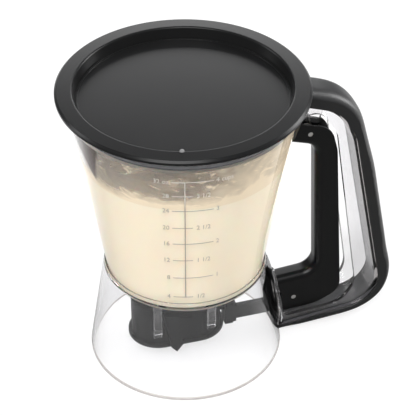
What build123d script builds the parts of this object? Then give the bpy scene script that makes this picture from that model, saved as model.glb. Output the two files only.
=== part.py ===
from build123d import *
from math import asin, atan2, copysign, cos, hypot, radians, sin
import os

# Pancake batter dispenser, in millimetres.
# Origin: centre of the stand skirt's rest ring, on the table. +Z up, +X out along the handle.

# ---- driving dimensions -------------------------------------------------------------------

# cup
CUP_FOOT_R = 46.2          # outer radius at the lower corner
CUP_FOOT_Z = 61.5
CUP_WAIST_R = 55.3         # the wall bows in slightly, so a third point sets its arc
CUP_WAIST_Z = 118.0
CUP_RIM_R = 66.0
CUP_RIM_Z = 178.5
CUP_WALL = 2.5
CORNER_IN = 1.2            # bevel at the cup's lower corner
CORNER_DROP = 2.6
RIM_BEAD_R = 68.6
RIM_TOP_Z = 180.5
RIM_BEVEL = 0.6
FUNNEL_Z = 44.0            # underside of the funnel floor where it meets the outlet tube
OUTLET_BORE_R = 6.0
OUTLET_R = 8.5
OUTLET_END_Z = 26.5

# stand skirt
SKIRT_BASE_R = 57.8
SKIRT_TOP_R = 47.7
SKIRT_TOP_Z = 66.0
SKIRT_WALL = 2.2
SKIRT_SLOT_HALF = 4.2      # half width of the slot that the pull arm comes out through
SKIRT_SLOT_Z = (5.6, 27.0)

# handle, each outline as its corners in XZ and the radius of each inner corner
GRIP_EDGE = [(60.0, 166.9), (89.6, 156.4), (100.5, 136.9), (123.3, 11.0), (54.0, 2.6)]
GRIP_EDGE_R = [27.0, 42.0, 19.8]
GRIP_BACK = [(60.0, 177.3), (101.2, 162.4), (114.7, 111.3), (132.9, 10.3), (94.9, 1.5), (54.0, 0.8)]
GRIP_BACK_R = [31.6, 94.2, 25.2, 84.0]
GRIP_STATIONS = 19         # cross-sections along the grip
GRIP_HALF = 12.0
GRIP_CROWN = 0.45          # share of the grip's depth that is crowned
GRIP_CROWN_MAX = 4.8
GRIP_LAP = 1.3             # how far the grip laps over the sides of the frame
WEB_INSET = 1.6            # the frame's web reaches this far inside the grip's edge
FRAME_HALF = 10.4
WALL_INNER_Y = 7.7
WALL_EDGE = [(48.0, 152.4), (66.0, 156.0), (78.3, 157.8), (88.8, 141.3), (107.3, 12.9), (60.2, 9.7), (53.2, 48.0),
             (42.0, 52.0)]
WALL_EDGE_R = [20.0, 9.0, 18.7, 18.6, 3.0, 3.0]
# fairing of a side wall round onto the skirt: height, y where it starts, how far it stands out
FAIRING = [(4.0, 12.4, 3.2), (17.0, 21.8, 3.2), (31.0, 29.0, 3.0), (45.0, 32.5, 2.6), (54.0, 30.8, 1.6),
           (61.0, 21.4, 0.5)]

# trigger
TRIGGER_HALF = 6.5
TRIGGER_BACK = [(67.6, 148.6), (86.7, 142.6), (90.9, 126.2), (97.1, 19.7), (81.0, 12.4), (58.3, 10.8)]
TRIGGER_BACK_R = [12.5, 28.0, 10.6, 29.6]
TRIGGER_FINGER = [(53.6, 36.2), (80.8, 38.4), (77.4, 131.1), (62.8, 135.7)]
TRIGGER_FINGER_R = [9.0, 7.5]
TRIGGER_FRONT = [(58.3, 10.8), (59.4, 24.0), (56.6, 28.6), (54.4, 29.6), (53.6, 36.2)]
CHEEK = 1.8
FINGER_WALL = 2.4
FINGER_ROUND = 4.4
PIVOT = (73.7, 140.6)
LINK = (67.0, 20.2)
SWING_DEG = 6.0
PIN_R = 1.5
PIN_HALF = 6.2
RUNNING = 0.05             # radial clearance of a pin in its bore
LINK_PLAY = 0.3            # the arm's eye is slotted up and down, to take up the rise of the link pin

# the frame's ear on the pivot pin, measured from the pin, and the return spring beside it
EAR_Y = (-4.2, -0.4)
EAR_R = 5.2
EAR_ROOT = [(7.8, 18.4), (-1.0, 21.4)]     # where the ear meets the web
NIB_X = (-3.4, -1.6)
NIB_Z = (8.9, 12.9)
NIB_REACH = 2.2
SPRING_WIRE_R = 0.4
SPRING_COIL_R = 2.6
SPRING_TURNS = 3
SPRING_PITCH = 0.85
SPRING_START_Y = 0.65
SPRING_LEAN = 17.0         # degrees that the legs lean from the vertical
SPRING_UPPER_LEG = 12.0
SPRING_LOWER_LEG = 14.2

# valve
HOUSING_ENDS = (-17.0, 5.0)        # centres of the round ends of the housing
FLANGE_R = 18.2
FLANGE_Z = (10.6, 12.8)
HOUSING_R = 16.3
HOUSING_WALL = 2.0
HOUSING_TOP_Z = 38.0
SHED = [(-3.0, 39.0), (2.0, 33.0), (12.0, 30.0), (20.0, 27.5), (30.0, 27.5), (30.0, 39.0)]
SHED_HALF = 20.0           # the shed outline is cut off the top, which slopes down to a low right-hand end
ROOF_Z = (26.2, 27.4)
ROOF_LAP = 0.5
ROOF_GAP = 0.2             # between the roof and the outlet seal
WINDOW_X = (15.0, 24.0)    # opening in the right-hand end that the pull arm comes in through
WINDOW_HALF = 7.7
WINDOW_GAP = 0.3
LUG_SIZE = (5.6, 2.4, 2.4)
LUG_Y = 15.6
LUG_Z = 23.0
COVER_R = 14.2
COVER_BORE_R = 12.3
DECK_Z = (15.4, 18.0)
NOZZLE_FLANGE_R = 8.6
NOZZLE_R = 7.4
NOZZLE_STEP = 0.6          # how far the nozzle's shoulder hangs below the deck
NOZZLE_TIP_R = 5.6
NOZZLE_TIP_Z = 6.0
NOZZLE_LIP = 1.2
NOZZLE_EASE = 0.3          # the nozzle's bore is this much wider than the port
GATE_Z = (20.9, 23.9)
GATE_HALF = 8.4
GATE_TAIL_X = (7.0, 16.0)
GATE_TAIL_HALF = 3.0
RAIL_X = (-24.0, 14.0)
RAIL_Y = (8.8, 10.8)
RAIL_ROOT = 0.5
PORT_R = 5.2
SEAL_GAP = 0.15
SEAL_R = 10.4
SEAL_TOP_Z = 30.0

# release tab, in XZ on a plane just outside the flange
TAB_GAP = 0.4
TAB_THICK = 2.6
TAB = [(-19.0, 38.0), (-1.5, 33.0), (-8.2, 17.8), (-6.8, 14.0), (-11.2, 8.4), (-14.6, 12.6), (-15.4, 17.4)]
TAB_BRIDGE = [(-17.0, 36.6), (-4.4, 33.0), (-5.6, 30.0), (-16.6, 30.0)]
BRIDGE_ROOT = 0.8
HOOK_X = (-13.0, -9.6)
HOOK_Z = 8.8
HOOK_REACH = 1.6
HOOK_GAP = 0.1

# pull arm
PEG_X = 13.2               # where the pull arm pegs into the gate
PEG_SHORT = 0.3
TONGUE_X = (10.0, 26.0)
TONGUE_HALF = 2.5
TONGUE_GAP = 0.5
NECK = ((24.0, 29.2), (-4.0, 4.0), (7.2, 23.6))
STEP = ((29.2, 31.6), (-2.7, 2.7), (7.0, 20.6))
ARM_HALF = 1.5
ARM_BLADE = [(31.0, 8.2), (57.0, 8.2), (66.0, 15.2), (69.0, 24.2), (62.0, 23.2), (53.0, 18.2), (31.0, 18.2)]
ARM_EYE_R = 5.2

# snap legs under the funnel
CLIP_X = (-22.0, 11.0)
CLIP_HALF = 2.5
CLIP_Y = (17.5, 19.5)
CLIP_Z = (20.0, 66.0)
TOE_REACH = 1.1
TOE_HEIGHT = 1.6

# lid
LID_R = 71.5
LID_TOP_Z = 183.8
LID_SKIRT_Z = 181.0
LID_SKIRT_WALL = 1.5
LID_SHOULDER = (1.8, 0.3)  # in from the edge, down from the top
LID_EDGE_DROP = 1.6
LID_RIM_INNER_R = 61.3
LID_FLOOR_Z = 176.8
LID_DRAFT = 1.0            # the recess is this much narrower at its floor
LID_WALL = 1.8
LID_PLUG_R = 62.5
LID_PLUG_Z = 171.4
LID_PLUG_TAPER = 1.6
LID_PLUG_WALL = 1.6
LID_PLUG_ROOT = 2.9        # inside of the plug wall where it meets the floor, in from the plug's radius
LID_GAP = 0.3
GASKET_Z = (173.4, 176.4)
GASKET_R = 62.3
GROOVE_DEPTH = (1.9, 1.5)  # in from the plug's radius, at the groove's low and high edge

CUT_PAST = 1.0             # how far a cutting shape runs past what it cuts
FAR = (46.0, 0.0, 130.0, 170.0)    # left, low, right and high, clear of the whole trigger

# worked out from the above
LINK_REACH = hypot(LINK[0] - PIVOT[0], LINK[1] - PIVOT[1])
LINK_LEAN = atan2(PIVOT[0] - LINK[0], PIVOT[1] - LINK[1])
GATE_TRAVEL = LINK_REACH * (sin(radians(SWING_DEG) - LINK_LEAN) + sin(LINK_LEAN))

os.makedirs("parts", exist_ok=True)


def save(name, shape):
    """Write one sub-part, named, to its own STEP file."""
    shape.label = name
    export_step(shape, f"parts/{name}.step")


def at_xz(points):
    return [Vector(x, 0, z) for x, z in points]


def closed(points):
    """A closed XZ outline of straight runs."""
    return [Polyline(*at_xz(points), close=True)]


def spun(edges):
    """Turn a closed XZ outline about the cup's axis."""
    return revolve(make_face(edges), axis=Axis.Z)


def slab(edges, low_y, high_y):
    """A flat XZ outline given thickness from low_y to high_y."""
    return Pos(0, low_y, 0) * extrude(make_face(edges).face(), high_y - low_y, dir=(0, 1, 0))


def disc(place, radius, low_y, high_y):
    """A round slab about an axis along Y."""
    x, z = place
    return Pos(x, (low_y + high_y) / 2, z) * Rot(90, 0, 0) * Cylinder(radius, high_y - low_y)


def block(x_range, y_range, z_range):
    """A box between two values on each axis."""
    sizes = [high - low for low, high in (x_range, y_range, z_range)]
    middle = [(low + high) / 2 for low, high in (x_range, y_range, z_range)]
    return Pos(*middle) * Box(*sizes)


def tube_end(radius, low, high, x=0.0):
    """An upright round slab between two heights."""
    return Pos(x, 0, (low + high) / 2) * Cylinder(radius, high - low)


def rounded(corners, radii):
    """An open XZ outline of straight runs joined by tangent arcs."""
    return FilletPolyline(*at_xz(corners), radius=radii)


def parallel(corners, radii, shift):
    """A rounded outline moved to the left of its own run by a distance."""
    lines = []
    for (x0, z0), (x1, z1) in zip(corners, corners[1:]):
        size = hypot(x1 - x0, z1 - z0)
        normal = (z0 - z1) / size, (x1 - x0) / size
        lines.append((*normal, normal[0] * x0 + normal[1] * z0 + shift))
    moved = [(corners[0][0] + lines[0][0] * shift, corners[0][1] + lines[0][1] * shift)]
    moved_radii = []
    for (a, b, c), (d, e, f), radius in zip(lines, lines[1:], radii):
        turn = a * e - b * d
        moved.append(((c * e - b * f) / turn, (a * f - c * d) / turn))
        moved_radii.append(radius - shift * copysign(1, turn))
    moved.append((corners[-1][0] + lines[-1][0] * shift, corners[-1][1] + lines[-1][1] * shift))
    return rounded(moved, moved_radii)


def between(first, second, low_y, high_y):
    """A slab between two open outlines."""
    return slab([first, second, Line(first @ 0, second @ 0), Line(first @ 1, second @ 1)], low_y, high_y)


# ---- cup ----------------------------------------------------------------------------------

def cup_wall_arc(inset):
    """The cup's slightly bowed wall as an arc, moved in by the wall thickness for the inside."""
    ends = (CUP_FOOT_R - inset, CUP_FOOT_Z), (CUP_WAIST_R - inset, CUP_WAIST_Z), (CUP_RIM_R - inset, CUP_RIM_Z)
    return ThreePointArc(*at_xz(ends))


def cup_envelope():
    """Everything inside the cup's outer wall, used to cut neighbours flush against it."""
    rest = [(CUP_RIM_R, CUP_RIM_Z), (0, CUP_RIM_Z), (0, FUNNEL_Z), (OUTLET_R, FUNNEL_Z),
            (CUP_FOOT_R - CORNER_IN, CUP_FOOT_Z - CORNER_DROP), (CUP_FOOT_R, CUP_FOOT_Z)]
    return spun([cup_wall_arc(0), Polyline(*at_xz(rest))])


def cup_body():
    """Cup with a funnel floor, an outlet tube and a beaded rim, moulded in one piece."""
    inner_rim_r = CUP_RIM_R - CUP_WALL
    rim = [(CUP_RIM_R, CUP_RIM_Z), (RIM_BEAD_R - RIM_BEVEL, CUP_RIM_Z), (RIM_BEAD_R, CUP_RIM_Z + RIM_BEVEL),
           (RIM_BEAD_R, RIM_TOP_Z - RIM_BEVEL), (RIM_BEAD_R - RIM_BEVEL, RIM_TOP_Z), (inner_rim_r, RIM_TOP_Z),
           (inner_rim_r, CUP_RIM_Z)]
    floor = [(CUP_FOOT_R - CUP_WALL, CUP_FOOT_Z), (OUTLET_BORE_R, FUNNEL_Z + CUP_WALL),
             (OUTLET_BORE_R, OUTLET_END_Z), (OUTLET_R, OUTLET_END_Z), (OUTLET_R, FUNNEL_Z),
             (CUP_FOOT_R - CORNER_IN, CUP_FOOT_Z - CORNER_DROP), (CUP_FOOT_R, CUP_FOOT_Z)]
    return spun([cup_wall_arc(0), Polyline(*at_xz(rim)), cup_wall_arc(CUP_WALL), Polyline(*at_xz(floor))])


# ---- stand skirt --------------------------------------------------------------------------

def skirt_radius(z):
    return SKIRT_BASE_R + (SKIRT_TOP_R - SKIRT_BASE_R) * z / SKIRT_TOP_Z


def skirt_envelope():
    """Everything inside the skirt's outer wall."""
    return spun(closed([(0, 0), (SKIRT_BASE_R, 0), (SKIRT_TOP_R, SKIRT_TOP_Z), (0, SKIRT_TOP_Z)]))


def stand_skirt():
    """Flared skirt that holds the cup off the table, scarfed to the cup, slotted for the pull arm."""
    wall = [(SKIRT_BASE_R - SKIRT_WALL, 0), (SKIRT_BASE_R, 0), (SKIRT_TOP_R, SKIRT_TOP_Z),
            (SKIRT_TOP_R - SKIRT_WALL, SKIRT_TOP_Z)]
    slot = block((SKIRT_TOP_R, SKIRT_BASE_R + CUT_PAST), (-SKIRT_SLOT_HALF, SKIRT_SLOT_HALF), SKIRT_SLOT_Z)
    return spun(closed(wall)) - cup_envelope() - slot


# ---- handle -------------------------------------------------------------------------------

def pivot_ear():
    """Ear that hangs from the web into the trigger, with a nib that the spring's upper leg leans on."""
    x, z = PIVOT
    outline = [(x - EAR_R, z), (x + EAR_R, z)] + [(x + out, z + up) for out, up in EAR_ROOT]
    nib = block([x + out for out in NIB_X], (EAR_Y[1], EAR_Y[1] + NIB_REACH), [z + up for up in NIB_Z])
    ear = slab(closed(outline), *EAR_Y) + disc(PIVOT, EAR_R, *EAR_Y) + nib
    return ear - disc(PIVOT, PIN_R + RUNNING, *EAR_Y)


def fairing(side):
    """Thin bulge on the skirt that carries a side wall of the handle round onto it."""
    sections = []
    for z, start_y, stand in FAIRING:
        inner = skirt_radius(z)
        outer = inner + stand
        low, high = asin(FRAME_HALF / outer), asin(start_y / inner)
        middle, middle_r = (low + high) / 2, inner + 0.45 * stand
        ends = [Vector(r * cos(turn), side * r * sin(turn), z)
                for r, turn in ((outer, low), (middle_r, middle), (inner, high))]
        root = Vector(inner - 8.0, side * WALL_INNER_Y, z)
        sections.append(make_face([ThreePointArc(*ends), Polyline(ends[2], root, ends[0])]))
    return loft(sections)


def handle_frame():
    """Clear channel-shaped handle: an outer web and two side walls that the trigger swings between."""
    web_back = parallel(GRIP_EDGE, GRIP_EDGE_R, GRIP_LAP)
    frame = between(parallel(GRIP_EDGE, GRIP_EDGE_R, -WEB_INSET), web_back, -FRAME_HALF, FRAME_HALF)
    wall_edge = rounded(WALL_EDGE, WALL_EDGE_R)
    for low, high in ((-FRAME_HALF, -WALL_INNER_Y), (WALL_INNER_Y, FRAME_HALF)):
        frame += between(wall_edge, web_back, low, high)
    frame += pivot_ear()
    frame += fairing(1)
    frame += fairing(-1)
    return frame - cup_envelope() - skirt_envelope()


def grip_section(place, outward, depth):
    """Cross-section of the grip: straight sides that run up to a crowned back."""
    crown = min(GRIP_CROWN * depth, GRIP_CROWN_MAX)

    def at(y, rise):
        return place + outward * rise + Vector(0, y, 0)

    back = Spline(at(-GRIP_HALF, depth - crown), at(-0.8 * GRIP_HALF, depth - 0.38 * crown), at(0, depth),
                  at(0.8 * GRIP_HALF, depth - 0.38 * crown), at(GRIP_HALF, depth - crown))
    sides = Polyline(back @ 1, at(GRIP_HALF, -1), at(-GRIP_HALF, -1), back @ 0)
    return make_face([back, sides])


def grip_shell():
    """Soft black cover over the back of the handle frame, with lips that lap over the frame's sides."""
    edge = rounded(GRIP_EDGE, GRIP_EDGE_R)
    back = rounded(GRIP_BACK, GRIP_BACK_R)
    sections = []
    for i in range(GRIP_STATIONS):
        along = i / (GRIP_STATIONS - 1)
        place, run = edge @ along, edge % along
        sections.append(grip_section(place, Vector(-run.Z, 0, run.X), back.distance_to(Vertex(*place))))
    grip = loft(sections)
    inner = parallel(GRIP_EDGE, GRIP_EDGE_R, -6.0)
    grip -= between(inner, edge, -GRIP_HALF - 1, GRIP_HALF + 1)
    grip -= between(inner, parallel(GRIP_EDGE, GRIP_EDGE_R, GRIP_LAP), -FRAME_HALF, FRAME_HALF)
    return grip - cup_envelope() - skirt_envelope()


# ---- trigger ------------------------------------------------------------------------------

def trigger():
    """Hollow C-shaped trigger: a rounded finger wall, two cheeks and a nose, open towards the handle's back."""
    back = rounded(TRIGGER_BACK, TRIGGER_BACK_R)
    finger = rounded(TRIGGER_FINGER, TRIGGER_FINGER_R)
    outline = [back, finger, Line(back @ 0, finger @ 1), Polyline(*at_xz(TRIGGER_FRONT))]
    body = slab(outline, -TRIGGER_HALF, TRIGGER_HALF)
    finger_edges = [edge for edge in body.edges()
                    if abs(abs(edge.center().Y) - TRIGGER_HALF) < 0.01
                    and finger.distance_to(Vertex(edge.center().X, 0, edge.center().Z)) < 0.01]
    body = fillet(finger_edges, FINGER_ROUND)
    wall = parallel(TRIGGER_FINGER, TRIGGER_FINGER_R, -FINGER_WALL)
    nose_x, nose_z = TRIGGER_BACK[0]
    left, low, right, high = FAR
    beyond = [(nose_x + CHEEK, nose_z), (nose_x + CHEEK, high), (right, high), (right, low), (left, low),
              (left, (wall @ 0).Z)]
    body -= slab([wall, Polyline(wall @ 1, *at_xz(beyond), wall @ 0)], CHEEK - TRIGGER_HALF, TRIGGER_HALF - CHEEK)
    for place in (PIVOT, LINK):
        body -= disc(place, PIN_R, -TRIGGER_HALF - CUT_PAST, TRIGGER_HALF + CUT_PAST)
    return body


def pin(place):
    """Steel cross pin, pressed into the trigger's cheeks just short of their faces."""
    return disc(place, PIN_R, -PIN_HALF, PIN_HALF)


def return_spring():
    """Torsion spring on the pivot pin: one leg up to the frame's nib, one down behind the finger wall."""
    height = SPRING_TURNS * SPRING_PITCH
    coil = Helix(SPRING_PITCH, height, SPRING_COIL_R)
    upper = Line((coil @ 0) - (coil % 0) * SPRING_UPPER_LEG, coil @ 0)
    lower = Line(coil @ 1, (coil @ 1) + (coil % 1) * SPRING_LOWER_LEG)
    path = Wire([upper, coil, lower])
    start = Plane(origin=path @ 0, z_dir=path % 0)
    wire = sweep(start * Circle(SPRING_WIRE_R), path=path)
    x, z = PIVOT
    return Pos(x, SPRING_START_Y, z) * Rot(0, -SPRING_LEAN, 0) * Rot(-90, 0, 0) * wire


# ---- valve --------------------------------------------------------------------------------

def capsule(radius, low, high):
    """Upright slab with two round ends, the plan shape of the valve."""
    left, right = HOUSING_ENDS
    shape = block(HOUSING_ENDS, (-radius, radius), (low, high))
    return shape + tube_end(radius, low, high, left) + tube_end(radius, low, high, right)


def release_tab():
    """Pointed tab outside the housing, hooked under the cover's flange, pulled to free the cover."""
    face_y = -FLANGE_R - TAB_GAP
    tab = slab(closed(TAB), face_y - TAB_THICK, face_y)
    bridge = slab(closed(TAB_BRIDGE), face_y, BRIDGE_ROOT - HOUSING_R)
    hook = block(HOOK_X, (face_y, face_y + HOOK_REACH), (HOOK_Z, FLANGE_Z[0] - HOOK_GAP))
    return tab + bridge + hook


def valve_housing():
    """Black shell round the gate, open below, with a roof, a low right-hand end, lugs and a release tab."""
    cavity_r = HOUSING_R - HOUSING_WALL
    body = capsule(HOUSING_R, FLANGE_Z[1], HOUSING_TOP_Z)
    body -= capsule(cavity_r, FLANGE_Z[1] - CUT_PAST, HOUSING_TOP_Z + CUT_PAST)
    body += capsule(cavity_r + ROOF_LAP, *ROOF_Z)
    body -= tube_end(SEAL_R + ROOF_GAP, ROOF_Z[0] - CUT_PAST, ROOF_Z[1] + CUT_PAST)
    body -= slab(closed(SHED), -SHED_HALF, SHED_HALF)
    body -= block(WINDOW_X, (-WINDOW_HALF, WINDOW_HALF), (DECK_Z[1] + WINDOW_GAP, ROOF_Z[0]))
    for x in CLIP_X:
        for side in (-1, 1):
            body += Pos(x, side * LUG_Y, LUG_Z) * Box(*LUG_SIZE)
    return body - capsule(cavity_r, DECK_Z[1], ROOF_Z[0]) + release_tab()


def valve_cover():
    """Black bottom cover: a flange plate and a raised deck that carries the nozzle and the gate's rails."""
    low, high = FLANGE_Z
    body = capsule(FLANGE_R, low, high) + capsule(COVER_R, high, DECK_Z[1])
    body -= capsule(COVER_BORE_R, low - CUT_PAST, DECK_Z[0])
    rails = [block(RAIL_X, sorted((side * RAIL_Y[0], side * RAIL_Y[1])), (DECK_Z[1] - RAIL_ROOT, GATE_Z[1]))
             for side in (-1, 1)]
    for rail in rails:
        body += rail & capsule(COVER_R, low, GATE_Z[1])
    return body - tube_end(NOZZLE_R, low - CUT_PAST, GATE_Z[1] + CUT_PAST)


def housing_clips():
    """Four clear snap legs under the funnel that hold the housing by its lugs."""
    legs = []
    for x in CLIP_X:
        for side in (-1, 1):
            width = (x - CLIP_HALF, x + CLIP_HALF)
            leg = block(width, sorted((side * CLIP_Y[0], side * CLIP_Y[1])), CLIP_Z)
            toe = block(width, sorted((side * (CLIP_Y[0] - TOE_REACH), side * CLIP_Y[0])),
                        (CLIP_Z[0], CLIP_Z[0] + TOE_HEIGHT))
            legs.append(leg + toe - cup_envelope())
    return Compound(children=legs)


def outlet_seal():
    """Silicone ring on the end of the outlet tube, which the gate slides under."""
    low = GATE_Z[1] + SEAL_GAP
    return spun(closed([(OUTLET_BORE_R, low), (SEAL_R, low), (SEAL_R, SEAL_TOP_Z), (OUTLET_R, SEAL_TOP_Z),
                        (OUTLET_R, OUTLET_END_Z), (OUTLET_BORE_R, OUTLET_END_Z)]))


def nozzle():
    """Silicone drip lip below the gate, seated on the cover's deck."""
    top = GATE_Z[0] - SEAL_GAP
    bore_r = PORT_R + NOZZLE_EASE
    return spun(closed([(bore_r, top), (NOZZLE_FLANGE_R, top), (NOZZLE_FLANGE_R, DECK_Z[1]), (NOZZLE_R, DECK_Z[1]),
                        (NOZZLE_R, DECK_Z[0] - NOZZLE_STEP), (NOZZLE_TIP_R, NOZZLE_TIP_Z),
                        (NOZZLE_TIP_R - NOZZLE_LIP, NOZZLE_TIP_Z), (bore_r, DECK_Z[0])]))


def gate_slide():
    """Flat gate whose port stands left of the outlet until the trigger pulls it across."""
    low, high = GATE_Z
    plate = block((-GATE_TRAVEL, 0), (-GATE_HALF, GATE_HALF), GATE_Z)
    plate += tube_end(GATE_HALF, low, high, -GATE_TRAVEL) + tube_end(GATE_HALF, low, high)
    plate += block(GATE_TAIL_X, (-GATE_TAIL_HALF, GATE_TAIL_HALF), GATE_Z)
    plate -= tube_end(PORT_R, low - CUT_PAST, high + CUT_PAST, -GATE_TRAVEL)
    return plate - tube_end(PIN_R, low - CUT_PAST, high + CUT_PAST, PEG_X)


def pull_arm():
    """Arm that pegs into the gate, steps down outside the housing and runs out to the trigger's link pin."""
    tongue = block(TONGUE_X, (-TONGUE_HALF, TONGUE_HALF), (DECK_Z[1] + TONGUE_GAP, GATE_Z[0]))
    peg = tube_end(PIN_R, GATE_Z[0], GATE_Z[1] - PEG_SHORT, PEG_X)
    blade = slab(closed(ARM_BLADE), -ARM_HALF, ARM_HALF)
    arm = tongue + peg + block(*NECK) + block(*STEP) + blade + disc(LINK, ARM_EYE_R, -ARM_HALF, ARM_HALF)
    x, z = LINK
    slot_r = PIN_R + RUNNING
    through = (-ARM_HALF - CUT_PAST, ARM_HALF + CUT_PAST)
    for rise in (-LINK_PLAY, LINK_PLAY):
        arm -= disc((x, z + rise), slot_r, *through)
    return arm - block((x - slot_r, x + slot_r), through, (z - LINK_PLAY, z + LINK_PLAY))


# ---- lid ----------------------------------------------------------------------------------

def lid_shell():
    """Lift-off lid: flat rim, recessed floor and a plug wall that goes down into the cup."""
    under_rim = RIM_TOP_Z + LID_GAP
    skirt_in = LID_R - LID_SKIRT_WALL
    shoulder_in, shoulder_down = LID_SHOULDER
    plug_foot_r = LID_PLUG_R - LID_PLUG_TAPER
    profile = [(0, LID_FLOOR_Z), (LID_RIM_INNER_R - LID_DRAFT, LID_FLOOR_Z), (LID_RIM_INNER_R, LID_TOP_Z),
               (LID_R - shoulder_in, LID_TOP_Z - shoulder_down), (LID_R, LID_TOP_Z - LID_EDGE_DROP),
               (LID_R, LID_SKIRT_Z), (skirt_in, LID_SKIRT_Z), (skirt_in, under_rim), (LID_PLUG_R, under_rim),
               (plug_foot_r, LID_PLUG_Z), (plug_foot_r - LID_PLUG_WALL, LID_PLUG_Z),
               (LID_PLUG_R - LID_PLUG_ROOT, LID_FLOOR_Z - LID_WALL), (0, LID_FLOOR_Z - LID_WALL)]
    return spun(closed(profile)) - spun(closed(gasket_profile(LID_R)))


def gasket_profile(outer_r):
    """The groove's outline, out to a radius."""
    low, high = GASKET_Z
    low_in, high_in = GROOVE_DEPTH
    return [(LID_PLUG_R - low_in, low), (outer_r, low), (outer_r, high), (LID_PLUG_R - high_in, high)]


def lid_gasket():
    """Silicone ring in the plug wall's groove."""
    return spun(closed(gasket_profile(GASKET_R)))


save("cup_body", cup_body())
save("stand_skirt", stand_skirt())
save("handle_frame", handle_frame())
save("grip_shell", grip_shell())
save("trigger", trigger())
save("pivot_pin", pin(PIVOT))
save("link_pin", pin(LINK))
save("return_spring", return_spring())
save("valve_housing", valve_housing())
save("valve_cover", valve_cover())
save("housing_clips", housing_clips())
save("outlet_seal", outlet_seal())
save("nozzle", nozzle())
save("gate_slide", gate_slide())
save("pull_arm", pull_arm())
save("lid_shell", lid_shell())
save("lid_gasket", lid_gasket())
print("gate travel", round(GATE_TRAVEL, 3), "link reach", round(LINK_REACH, 2))
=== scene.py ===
import math

import bmesh
import bpy
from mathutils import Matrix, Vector


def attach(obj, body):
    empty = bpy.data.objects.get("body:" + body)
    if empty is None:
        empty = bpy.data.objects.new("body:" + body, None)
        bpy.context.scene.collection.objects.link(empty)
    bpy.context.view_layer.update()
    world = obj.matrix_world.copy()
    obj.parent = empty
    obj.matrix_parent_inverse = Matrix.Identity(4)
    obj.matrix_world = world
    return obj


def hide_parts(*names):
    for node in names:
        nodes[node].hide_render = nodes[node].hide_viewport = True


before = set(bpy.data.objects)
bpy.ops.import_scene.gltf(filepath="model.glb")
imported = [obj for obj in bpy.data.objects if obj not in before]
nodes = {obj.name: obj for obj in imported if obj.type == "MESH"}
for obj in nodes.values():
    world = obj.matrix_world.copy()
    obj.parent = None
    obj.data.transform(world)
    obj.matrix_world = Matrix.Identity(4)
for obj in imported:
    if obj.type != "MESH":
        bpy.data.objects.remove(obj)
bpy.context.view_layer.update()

# ---- studio: camera ------------------------------------------------------------------------
# A long lens looks down on the dispenser with the handle turned a little away from the viewer.
# Every length in this file is in metres, and the part's own axes are used throughout.

VIEW_AZIMUTH = math.radians(-16.2)
VIEW_ELEVATION = math.radians(37.54)
VIEW_DISTANCE = 1.0427
AIM_RIGHT = 0.01366
AIM_HEIGHT = 0.09862
LENS = 155.2

view_right = Vector((math.cos(VIEW_AZIMUTH), math.sin(VIEW_AZIMUTH), 0))
view_back = Vector((math.sin(VIEW_AZIMUTH) * math.cos(VIEW_ELEVATION),
                    -math.cos(VIEW_AZIMUTH) * math.cos(VIEW_ELEVATION), math.sin(VIEW_ELEVATION)))
aim = view_right * AIM_RIGHT + Vector((0, 0, AIM_HEIGHT))
bpy.ops.object.camera_add(location=aim + view_back * VIEW_DISTANCE)
camera = bpy.context.object
camera.rotation_euler = view_back.to_track_quat("Z", "Y").to_euler()
camera.data.lens = LENS
camera.data.clip_end = 20
bpy.context.scene.camera = camera
bpy.context.scene.view_settings.view_transform = "Standard"

# ---- studio: white sweep -------------------------------------------------------------------
# A wide sheet of matt white paper under the dispenser. It takes soft shadows, and where nothing shades it
# the lens sees plain white.

FLOOR_SIZE = 5.0
FLOOR_COLOUR = "8C8C8C"
FLOOR_LIFT = 0.74         # light added for the lens and clear plastic, so that clean paper reads white
LIT_NEAR, LIT_FAR = 0.35, 1.20     # the lamps fall off over this distance, and the lift makes up for it
BACK_NEAR, BACK_FAR = 0.02, 0.12   # behind the dispenser the paper's light also shows in glossy surfaces
BACK_LIFT = 1.0


def colour(hex_code):
    """Linear colour of an sRGB hex value."""
    parts = [int(hex_code[i:i + 2], 16) / 255 for i in (0, 2, 4)]
    return [c / 12.92 if c <= 0.04045 else ((c + 0.055) / 1.055) ** 2.4 for c in parts] + [1.0]


def new_material(name):
    """A material with an empty node tree."""
    material = bpy.data.materials.new(name)
    material.use_nodes = True
    material.node_tree.nodes.clear()
    return material


def add_node(tree, kind, settings=None, links=None):
    """Add a node, set its properties and inputs by name, and link its inputs to other nodes' outputs."""
    node = tree.nodes.new(kind)
    for key, value in (settings or {}).items():
        if isinstance(key, str) and hasattr(node, key):
            setattr(node, key, value)
        else:
            node.inputs[key].default_value = value
    for key, output in (links or {}).items():
        tree.links.new(output, node.inputs[key])
    return node


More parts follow.
